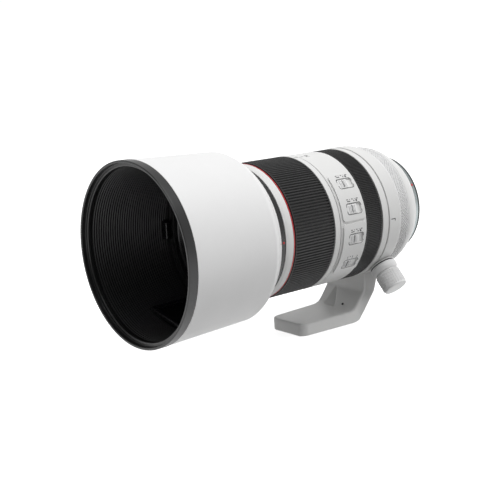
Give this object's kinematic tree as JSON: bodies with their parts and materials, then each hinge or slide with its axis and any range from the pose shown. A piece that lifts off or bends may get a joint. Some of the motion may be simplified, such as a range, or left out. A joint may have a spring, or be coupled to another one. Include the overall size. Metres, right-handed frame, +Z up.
{
  "type": "telephoto zoom lens",
  "caption": "White telephoto zoom lens with deep bayonet hood, ribbed zoom and focus rings, switch panels and a rotating tripod collar with foot.",
  "frame": {"origin": "under the middle of the lens's length, on the surface its tripod foot stands on", "axes": "+X along the optical axis from the hood's mouth to the camera mount, +Z up, switch panels on the -Y side"},
  "size_m": [0.2254, 0.1148, 0.1326],
  "materials": {
    "black_anodised": "black anodised, satin",
    "black_plastic": "matt black",
    "chrome_mount": "brushed bright",
    "circuit_board": "lacquered",
    "coated_glass": "coated, polished",
    "grip_rubber": "ribbed matt black",
    "red_ring": "satin red",
    "steel": "bright",
    "white_moulded": "moulded white, satin",
    "white_paint": "fine matt white heat-reflecting paint"
  },
  "bodies": {
    "root": {"outer_barrel": "black_anodised", "guide_barrel": "black_anodised", "panel_barrel": "white_paint", "upper_switch_panel": "white_paint", "lower_switch_panel": "white_paint", "rear_ring": "white_paint", "rear_barrel": "white_paint", "mount_flange": "chrome_mount", "contact_block": "black_plastic", "rear_baffle": "black_plastic", "main_board": "circuit_board", "iris_housing": "black_anodised", "stabiliser_base": "black_anodised", "guide_rod_1": "steel", "guide_rod_2": "steel", "focus_motor": "black_plastic", "rear_cell": "black_anodised", "rear_element": "coated_glass"},
    "front_group": {"front_ring": "black_anodised", "white_band": "white_paint", "red_band": "red_ring", "extending_tube": "white_paint", "front_cell": "black_anodised", "front_element": "coated_glass", "second_element": "coated_glass", "front_retaining_ring": "black_anodised", "cam_roller_1": "steel", "cam_roller_2": "steel", "cam_roller_3": "steel"},
    "hood": {"hood_shell": "white_moulded", "hood_rear_cap": "white_moulded", "hood_liner": "black_plastic", "hood_bayonet_ring": "black_plastic", "hood_rim": "grip_rubber"},
    "hood_window": {"hood_window": "white_moulded"},
    "hood_release": {"hood_release_button": "white_moulded"},
    "zoom_ring": {"zoom_ring": "white_paint", "zoom_grip": "grip_rubber", "cam_tube": "black_anodised"},
    "variator": {"variator_cell": "black_anodised", "variator_front_element": "coated_glass", "variator_rear_element": "coated_glass"},
    "iris_drive": {"iris_drive_ring": "steel"},
    "stabiliser_frame": {"stabiliser_frame": "black_plastic"},
    "stabiliser_lens": {"stabiliser_carriage": "black_plastic", "stabiliser_element": "coated_glass"},
    "focus_group": {"focus_cell": "black_anodised", "focus_element": "coated_glass"},
    "focus_ring": {"focus_ring": "black_plastic", "focus_grip": "grip_rubber"},
    "control_ring": {"control_ring": "white_moulded"},
    "collar": {"collar_ring": "white_paint", "collar_foot": "white_paint", "tripod_bush": "steel"},
    "clamp_knob": {"clamp_knob": "white_moulded", "clamp_screw": "steel"},
    "focus_limit_switch": {"focus_limit_switch": "white_moulded"},
    "focus_mode_switch": {"focus_mode_switch": "white_moulded"},
    "stabiliser_switch": {"stabiliser_switch": "white_moulded"},
    "stabiliser_mode_switch": {"stabiliser_mode_switch": "white_moulded"}
  },
  "joints": [
    {"name": "front_extend", "type": "slide", "parent": "root", "child": "front_group", "axis": [-1, 0, 0], "range_m": [0, 0.058]},
    {"name": "zoom_turn", "type": "hinge", "parent": "root", "child": "zoom_ring", "pos_m": [0, 0, 0.0752], "axis": [-1, 0, 0], "range_deg": [0, 75]},
    {"name": "variator_slide", "type": "slide", "parent": "root", "child": "variator", "axis": [-1, 0, 0], "range_m": [0, 0.02]},
    {"name": "hood_turn", "type": "hinge", "parent": "front_group", "child": "hood", "pos_m": [0, 0, 0.0752], "axis": [1, 0, 0], "range_deg": [0, 55]},
    {"name": "hood_window_slide", "type": "hinge", "parent": "hood", "child": "hood_window", "pos_m": [0, 0, 0.0752], "axis": [1, 0, 0], "range_deg": [0, 38]},
    {"name": "hood_release_press", "type": "slide", "parent": "hood", "child": "hood_release", "axis": [0, -1, 0], "range_m": [0, 0.001], "stiffness_N_per_m": 600},
    {"name": "iris_drive", "type": "hinge", "parent": "root", "child": "iris_drive", "pos_m": [0, 0, 0.0752], "axis": [1, 0, 0], "range_deg": [0, 55]},
    {"name": "stabiliser_pitch", "type": "slide", "parent": "root", "child": "stabiliser_frame", "axis": [0, 0, 1], "range_m": [-0.0008, 0.0008], "stiffness_N_per_m": 2500},
    {"name": "stabiliser_yaw", "type": "slide", "parent": "stabiliser_frame", "child": "stabiliser_lens", "axis": [0, 1, 0], "range_m": [-0.0008, 0.0008], "stiffness_N_per_m": 2500},
    {"name": "focus_drive", "type": "slide", "parent": "root", "child": "focus_group", "axis": [1, 0, 0], "range_m": [-0.008, 0.014]},
    {"name": "focus_turn", "type": "hinge", "parent": "root", "child": "focus_ring", "pos_m": [0, 0, 0.0752], "axis": [1, 0, 0], "continuous": true},
    {"name": "control_turn", "type": "hinge", "parent": "root", "child": "control_ring", "pos_m": [0, 0, 0.0752], "axis": [1, 0, 0], "continuous": true},
    {"name": "collar_turn", "type": "hinge", "parent": "root", "child": "collar", "pos_m": [0, 0, 0.0752], "axis": [1, 0, 0], "continuous": true},
    {"name": "clamp_knob_turn", "type": "hinge", "parent": "collar", "child": "clamp_knob", "pos_m": [0.0704, -0.03138, 0.04035], "axis": [0, -0.6691, -0.7431], "range_deg": [0, 360]},
    {"name": "focus_limit_slide", "type": "slide", "parent": "root", "child": "focus_limit_switch", "axis": [1, 0, 0], "range_m": [0, 0.0033]},
    {"name": "focus_mode_slide", "type": "slide", "parent": "root", "child": "focus_mode_switch", "axis": [1, 0, 0], "range_m": [0, 0.0033]},
    {"name": "stabiliser_switch_slide", "type": "slide", "parent": "root", "child": "stabiliser_switch", "axis": [1, 0, 0], "range_m": [0, 0.0033]},
    {"name": "stabiliser_mode_slide", "type": "slide", "parent": "root", "child": "stabiliser_mode_switch", "axis": [1, 0, 0], "range_m": [0, 0.005]}
  ],
  "couplings": [
    {"joint": "zoom_turn", "follows": "front_extend", "rad_per_m": 22.569},
    {"joint": "variator_slide", "follows": "front_extend", "ratio": 0.3448}
  ]
}
